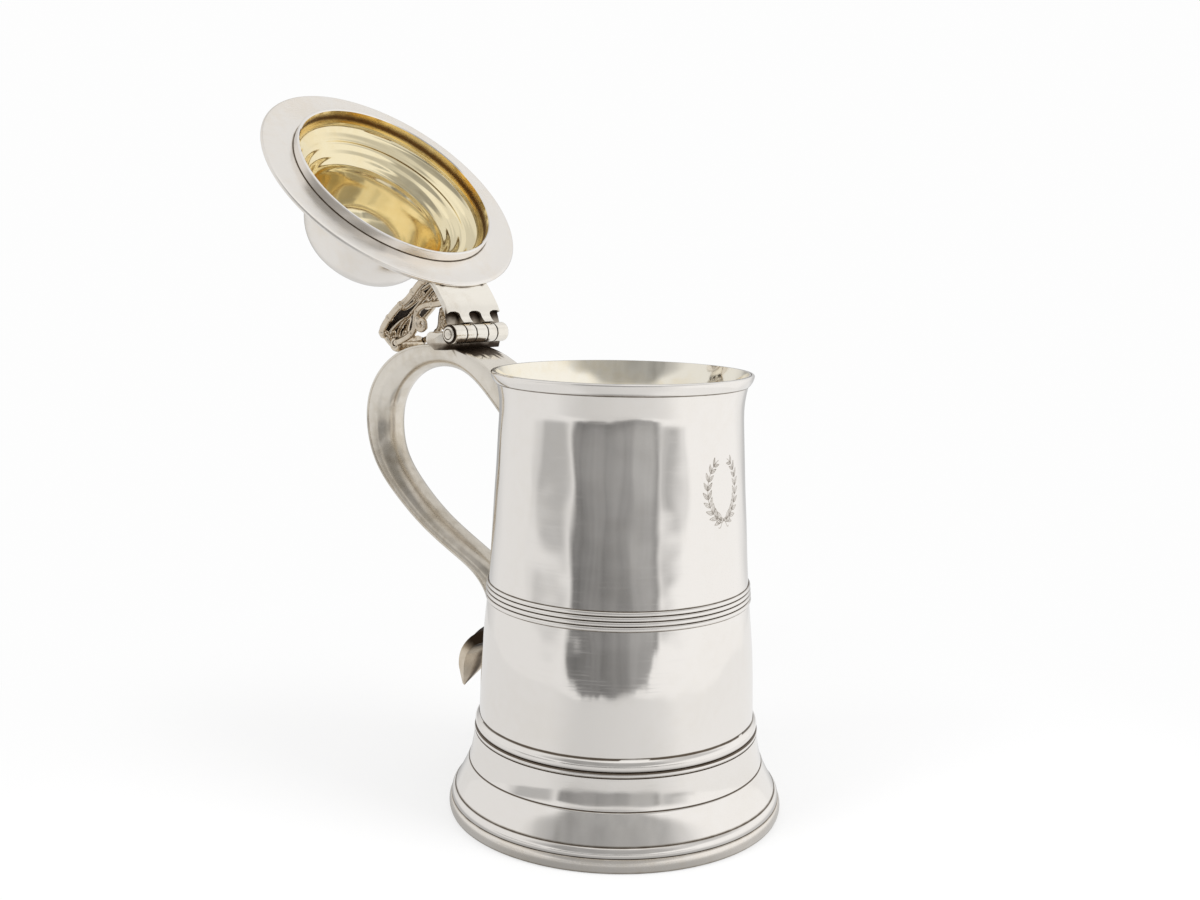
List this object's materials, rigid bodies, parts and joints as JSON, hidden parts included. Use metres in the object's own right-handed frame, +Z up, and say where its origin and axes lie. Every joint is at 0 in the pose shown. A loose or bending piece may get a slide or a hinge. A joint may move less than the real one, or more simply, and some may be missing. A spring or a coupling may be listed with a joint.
{
  "type": "lidded tankard",
  "caption": "Silver lidded tankard with a tapering girdled barrel, spread foot, hollow scroll handle, hinged domed lid and pierced thumbpiece.",
  "frame": {"origin": "centre of the foot ring's underside, on the barrel's axis", "axes": "+Z up along the barrel's axis, handle and hinge towards -X, hinge pin along Y; the near side in the picture is -Y and +X"},
  "size_m": [0.2385, 0.1304, 0.2814],
  "materials": {
    "polished_silver": "polished",
    "cast_silver": "satin",
    "gilt_lined_silver": "polished"
  },
  "bodies": {
    "tankard_body": {"barrel": "gilt_lined_silver", "base_plate": "polished_silver", "rim_moulding": "polished_silver", "girdle_band": "polished_silver", "skirt_moulding": "polished_silver", "foot_skirt": "polished_silver", "foot_moulding": "polished_silver", "foot_ring": "polished_silver", "handle_strap": "polished_silver", "handle_shell": "polished_silver", "handle_tail": "cast_silver", "hinge_seat": "cast_silver", "handle_knuckle_near": "polished_silver", "handle_knuckle_middle": "polished_silver", "handle_knuckle_far": "polished_silver", "hinge_pin": "polished_silver", "pin_cap_near": "polished_silver", "pin_cap_far": "polished_silver"},
    "lid": {"lid_cover": "gilt_lined_silver", "lid_edge_wire": "polished_silver", "bezel_ring": "gilt_lined_silver", "hinge_plate": "polished_silver", "lid_knuckle_near": "polished_silver", "lid_knuckle_far": "polished_silver", "thumb_leaf": "cast_silver", "thumb_roll": "cast_silver", "thumb_scroll_near": "cast_silver", "thumb_scroll_far": "cast_silver"}
  },
  "joints": [
    {"name": "lid_hinge", "type": "hinge", "parent": "tankard_body", "child": "lid", "pos_m": [-0.0779, 0, 0.1809], "axis": [0, 1, 0], "range_deg": [0, 137.3]}
  ]
}
